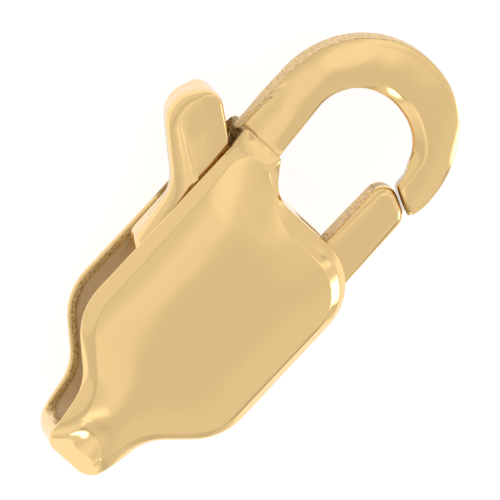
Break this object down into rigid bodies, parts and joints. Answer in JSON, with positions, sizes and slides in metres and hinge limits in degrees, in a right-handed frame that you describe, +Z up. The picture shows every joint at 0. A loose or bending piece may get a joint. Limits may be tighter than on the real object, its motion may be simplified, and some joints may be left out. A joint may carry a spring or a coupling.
{
  "type": "lobster clasp",
  "caption": "Small polished yellow-gold lobster clasp: hollow pressed body with a solid curved hook, and a sprung trigger with thumb tab and gate.",
  "frame": {"origin": "under the middle of the whole clasp, on the surface that it lies on", "axes": "+X from the tail to the hook, +Y towards the thumb tab, +Z up through the front cheek"},
  "size_m": [0.013, 0.0066, 0.0028],
  "materials": {
    "gold": "polished yellow gold, bare pressed sheet inside",
    "trigger_gold": "polished yellow gold with sheared side walls",
    "pin_gold": "drawn gold wire",
    "spring_steel": "drawn spring wire"
  },
  "bodies": {
    "clasp": {"body": "gold", "pivot_pin": "pin_gold", "return_spring": "spring_steel"},
    "trigger": {"trigger": "trigger_gold"}
  },
  "joints": [
    {"name": "trigger_pivot", "type": "hinge", "parent": "clasp", "child": "trigger", "pos_m": [0.0001, -0.00219, 0.00138], "axis": [0, 0, 1], "range_deg": [0, 25], "stiffness_Nm_per_rad": 0.005}
  ]
}
